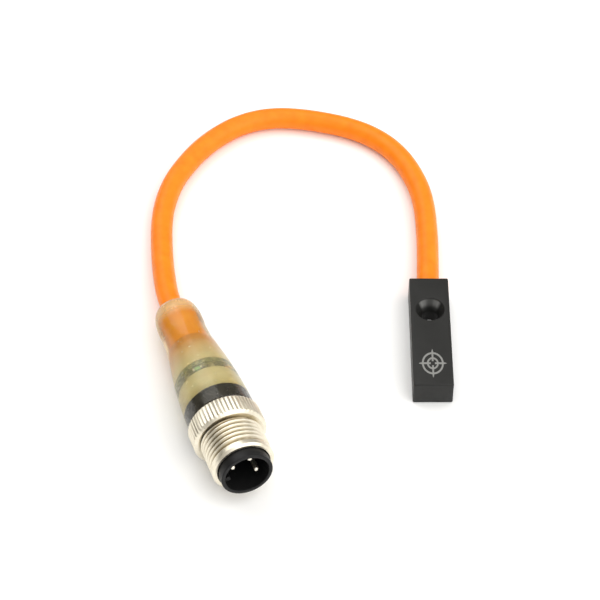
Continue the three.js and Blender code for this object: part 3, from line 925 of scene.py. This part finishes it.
def add_chips():
    """The lamps and resistors on the board, each a body between two soldered ends."""
    # Node: (angle on the board, width, length, height, slot)
    chips = {
        "power_lamp": (108, 1.6, 0.8, 0.7, "lamp_green"),
        "output_lamp": (18, 1.6, 0.8, 0.7, "lamp_yellow"),
        "power_lamp_resistor": (198, 1.2, 0.6, 0.45, "chip_black"),
        "output_lamp_resistor": (288, 1.2, 0.6, 0.45, "chip_black"),
    }
    end_share = 0.2
    inner_y = 3.1
    for node, (degrees, width, length, height, slot) in chips.items():
        front = BOARD_FRONT_Z + 0.05
        middle = width * (0.5 - end_share)
        low, high = (-middle, inner_y, front), (middle, inner_y + length, front + height)
        body = bevelled_box(low, high, 0.08, 2)
        piece = add_piece(f"{node}_chip", *moved(body, turn_degrees=degrees - 90), PLUG, slot)
        attach(piece, slot, node)
        ends = []
        for side in (-1, 1):
            near, far = sorted((side * width / 2, side * middle))
            low = (near, inner_y + 0.02, front - 0.04)
            high = (far, inner_y - 0.02 + length, front + height * 0.8)
            ends.append(bevelled_box(low, high, 0.05, 2))
        caps = moved(merged(*ends), turn_degrees=degrees - 90)
        attach(add_piece(f"{node}_ends", *caps, PLUG, "solder"), None)


def add_inner_mould():
    """The cup of milky resin round the carrier's spigot, and the fill from the jacket to the board."""
    outline = rounded([
        (0, INNER_MOULD_REAR_Z, 0),
        (INNER_MOULD_RADIUS - 0.9, INNER_MOULD_REAR_Z, 0.4),
        (INNER_MOULD_RADIUS, INNER_MOULD_REAR_Z + 2.6, 1.2),
        (INNER_MOULD_RADIUS, RING_REAR_Z - 0.2, 0),
        (SPIGOT_RADIUS + 0.2, RING_REAR_Z - 0.2, 0),
        (SPIGOT_RADIUS + 0.2, SPIGOT_REAR_Z - 0.2, 0),
        (0, SPIGOT_REAR_Z - 0.2, 0),
    ])
    fill = rounded([
        (0, JACKET_END_Z - 1.2, 0),
        (2.6, JACKET_END_Z - 1.2, 0.3),
        (3.4, JACKET_END_Z + 2.0, 0.8),
        (4.35, BOARD_REAR_Z - 0.2, 0.1),
        (0, BOARD_REAR_Z - 0.2, 0),
    ])
    mould = add_piece("inner_mould_cup", *merged(turned(outline), turned(fill)), PLUG, "inner_resin")
    attach(mould, "inner_resin", "inner_mould")


def add_retaining_ring():
    bore = CARRIER_RADIUS + 0.2
    outline = rounded([
        (bore, RING_REAR_Z, 0),
        (RING_RADIUS, RING_REAR_Z, 0.15),
        (RING_RADIUS, RING_FRONT_Z, 0.1),
        (bore, RING_FRONT_Z, 0),
    ], closed=True)
    ring = add_piece("band_ring", *turned(outline, 128, closed=True), PLUG, "insert_black")
    attach(ring, "insert_black", "retaining_ring")


add_plug_body()
add_jacket_end()
add_plug_wires()
add_lamp_board()
add_chips()
add_inner_mould()
add_retaining_ring()

# ---------------------------------------------------------------- contact carrier and contacts


def add_contact_carrier():
    """The insert with its shroud, key, flange, the contacts' bosses and the blank fourth place."""
    rim = 0.22
    flange_rear, flange_front = KNURL_REAR_Z + 0.15, NUT_STEP_Z - 0.4
    outline = rounded([
        (0, SPIGOT_REAR_Z, 0),
        (SPIGOT_RADIUS, SPIGOT_REAR_Z, 0.1),
        (SPIGOT_RADIUS, RING_REAR_Z, 0),
        (CARRIER_RADIUS, RING_REAR_Z, 0),
        (CARRIER_RADIUS, flange_rear, 0),
        (CARRIER_FLANGE_RADIUS, flange_rear, 0.1),
        (CARRIER_FLANGE_RADIUS, flange_front, 0.1),
        (CARRIER_RADIUS, flange_front, 0),
        (CARRIER_RADIUS, PLUG_LENGTH, rim),
        (CAVITY_RADIUS, PLUG_LENGTH, 0.16),
        (CAVITY_RADIUS, CAVITY_FLOOR_Z, 0.25),
        (0, CAVITY_FLOOR_Z, 0),
    ], steps=5)
    key_low, key_high = (3.1, -0.5, CAVITY_FLOOR_Z - 0.5), (CAVITY_RADIUS + 0.3, 0.5, PLUG_LENGTH - 1.2)
    key = moved(bevelled_box(key_low, key_high, 0.14), turn_degrees=KEY_ANGLE)
    bosses = []
    for degrees in PIN_ANGLES.values():
        x, y = polar(PIN_CIRCLE_RADIUS, degrees)
        bore = PIN_RADIUS + 0.03
        corners = [(bore, -0.5, 0), (0.85, -0.5, 0), (0.85, 0.35, 0.12), (bore, 0.2, 0)]
        boss = rounded(corners, closed=True)
        bosses.append(moved(turned(boss, 40, closed=True), x, y, CAVITY_FLOOR_Z))
    x, y = polar(PIN_CIRCLE_RADIUS, EMPTY_PIN_ANGLE)
    blank = rounded([(0, -0.5, 0), (0.75, -0.5, 0), (0.75, 0.25, 0.1), (0, 0.2, 0)])
    bosses.append(moved(turned(blank, 40), x, y, CAVITY_FLOOR_Z))
    shapes = merged(turned(outline, 160), key, *bosses)
    insert = add_piece("insert", *shapes, PLUG, "insert_black")
    attach(insert, "insert_black", "contact_carrier")


def add_contact_pins():
    for number, degrees in PIN_ANGLES.items():
        x, y = polar(PIN_CIRCLE_RADIUS, degrees)
        outline = rounded([
            (0, PIN_REAR_Z, 0),
            (PIN_RADIUS, PIN_REAR_Z, 0.1),
            (PIN_RADIUS, PIN_TIP_Z, 0.4),
            (0, PIN_TIP_Z, 0),
        ], steps=8)
        pin = add_piece(f"pin_{number}", *moved(turned(outline, 40), x, y), PLUG, "pin_gold")
        attach(pin, "pin_gold", f"contact_pin_{number}")


add_contact_carrier()
add_contact_pins()

# ---------------------------------------------------------------- coupling nut


def thread_radius(radius, z, angle):
    """A right-hand 60 degree thread with flat crests, cut into radii at the crest's size."""
    if radius < THREAD_RADIUS - 0.01 or not THREAD_REAR_Z <= z <= THREAD_FRONT_Z:
        return radius
    root_flat, flank = 0.16, 0.66
    phase = (z - THREAD_REAR_Z) / THREAD_PITCH - angle / math.tau
    ramp = 1 - abs(2 * (phase % 1.0) - 1)
    height = min(1.0, max(0.0, (ramp - root_flat) / flank))
    return THREAD_ROOT_RADIUS + (THREAD_RADIUS - THREAD_ROOT_RADIUS) * height


def knurl_radius(radius, z, angle):
    """Straight ribs with rounded tops, dying out where the grip is chamfered."""
    if radius < KNURL_RADIUS - 0.05:
        return radius
    wave = 0.5 + 0.5 * math.cos(KNURL_RIBS * angle)
    return radius - KNURL_DEPTH * (1 - wave ** 0.6)


def add_coupling_nut():
    """The threaded sleeve with its lead-in chamfer, and the knurled grip behind it."""
    rows_per_mm = 24
    sides_per_rib = 8
    count = int((THREAD_FRONT_Z - THREAD_REAR_Z) * rows_per_mm)
    step = (THREAD_FRONT_Z - THREAD_REAR_Z) / count
    sleeve = [(NUT_BORE_RADIUS, KNURL_FRONT_Z - 0.5), (THREAD_ROOT_RADIUS - 0.04, KNURL_FRONT_Z - 0.5)]
    sleeve += [(THREAD_ROOT_RADIUS - 0.04, THREAD_REAR_Z - 0.05)]
    sleeve += [(THREAD_RADIUS, THREAD_REAR_Z + step * i) for i in range(count + 1)]
    front = rounded([
        (THREAD_ROOT_RADIUS, THREAD_FRONT_Z + 0.02, 0),
        (THREAD_ROOT_RADIUS, THREAD_FRONT_Z + 0.22, 0),
        (THREAD_RADIUS - 0.02, THREAD_FRONT_Z + 0.42, 0.08),
        (THREAD_RADIUS - 0.02, NUT_FRONT_Z - 0.4, 0.1),
        (THREAD_RADIUS - 0.42, NUT_FRONT_Z, 0.06),
        (NUT_BORE_RADIUS, NUT_FRONT_Z, 0),
    ])
    sleeve += [tuple(point) for point in front]
    thread = turned(sleeve, 192, thread_radius, closed=True)
    grip = [
        (NUT_RECESS_RADIUS, KNURL_REAR_Z),
        (KNURL_RADIUS - 0.45, KNURL_REAR_Z),
        (KNURL_RADIUS - 0.36, KNURL_REAR_Z + 0.05),
        (KNURL_RADIUS - 0.02, KNURL_REAR_Z + 0.32),
        (KNURL_RADIUS, KNURL_REAR_Z + 0.40),
        (KNURL_RADIUS, KNURL_FRONT_Z - 0.56),
        (KNURL_RADIUS - 0.02, KNURL_FRONT_Z - 0.50),
        (KNURL_RADIUS - 0.26, KNURL_FRONT_Z - 0.30),
        (KNURL_RADIUS - 0.62, KNURL_FRONT_Z - 0.05),
        (KNURL_RADIUS - 0.70, KNURL_FRONT_Z),
        (NUT_BORE_RADIUS, KNURL_FRONT_Z),
        (NUT_BORE_RADIUS, NUT_STEP_Z),
        (NUT_RECESS_RADIUS, NUT_STEP_Z),
    ]
    knurl = turned(grip, KNURL_RIBS * sides_per_rib, knurl_radius, closed=True)
    nut = add_piece("threaded_nut", *merged(thread, knurl), PLUG, "nut_nickel", sharp_degrees=28.0)
    attach(nut, "nut_nickel", "coupling_nut", body="nut")


add_coupling_nut()

# ---------------------------------------------------------------- CAD nodes that stay


def finish_cad_nodes():
    """Every CAD node that still shows takes the node material of its slot."""
    slots = {row["node"]: row["material_slot"] for row in frame["record"]["subparts"]}
    for name, node in frame["nodes"].items():
        if node.hide_render:
            continue
        node.data.materials.clear()
        node.data.materials.append(MATERIALS[slots[name]])


finish_cad_nodes()

# ---------------------------------------------------------------- studio


def add_floor():
    half = FLOOR_HALF_SIZE
    mesh = bpy.data.meshes.new("floor")
    corners = [(-half, -half, 0), (half, -half, 0), (half, half, 0), (-half, half, 0)]
    mesh.from_pydata(corners, [], [[0, 1, 2, 3]])
    floor = bpy.data.objects.new("floor", mesh)
    bpy.context.scene.collection.objects.link(floor)
    paper = bpy.data.materials.new("floor_paper")
    paper.use_nodes = True
    shader = paper.node_tree.nodes["Principled BSDF"]
    shader.inputs["Base Color"].default_value = (FLOOR_GREY, FLOOR_GREY, FLOOR_GREY, 1)
    shader.inputs["Roughness"].default_value = 0.9
    shader.inputs["Specular IOR Level"].default_value = 0.1
    mesh.materials.append(paper)


def add_softbox(name, target, place, size, watts):
    data = bpy.data.lights.new(name, "AREA")
    data.shape = "SQUARE"
    data.size = size
    data.energy = watts
    light = bpy.data.objects.new(name, data)
    bpy.context.scene.collection.objects.link(light)
    light.location = place
    light.rotation_mode = "QUATERNION"
    light.rotation_quaternion = (Vector(target) - Vector(place)).to_track_quat("-Z", "Y")


def add_world():
    """A room that is bright overhead and to the front right, and dim behind and to the left."""
    world = bpy.data.worlds.new("room")
    world.use_nodes = True
    nodes, links = world.node_tree.nodes, world.node_tree.links
    place = nodes.new("ShaderNodeTexCoord")
    dot = nodes.new("ShaderNodeVectorMath")
    dot.operation = "DOT_PRODUCT"
    dot.inputs[1].default_value = Vector(ROOM_BRIGHT_SIDE).normalized()
    ramp = nodes.new("ShaderNodeValToRGB")
    ramp.color_ramp.elements[0].position = 0.0
    ramp.color_ramp.elements[0].color = (*ROOM_DIM, 1)
    ramp.color_ramp.elements[1].position = 0.95
    ramp.color_ramp.elements[1].color = (*ROOM_BRIGHT, 1)
    background = nodes["Background"]
    links.new(place.outputs["Generated"], dot.inputs[0])
    links.new(dot.outputs["Value"], ramp.inputs["Fac"])
    links.new(ramp.outputs["Color"], background.inputs["Color"])
    background.inputs["Strength"].default_value = ROOM_STRENGTH
    bpy.context.scene.world = world


def add_studio():
    centre = tuple(value * MM for value in VIEW_CENTRE)
    add_softbox("key_light", centre, **KEY_LIGHT)
    add_softbox("fill_light", centre, **FILL_LIGHT)
    add_world()
    bpy.context.scene.view_settings.view_transform = "Standard"


add_floor()
add_studio()
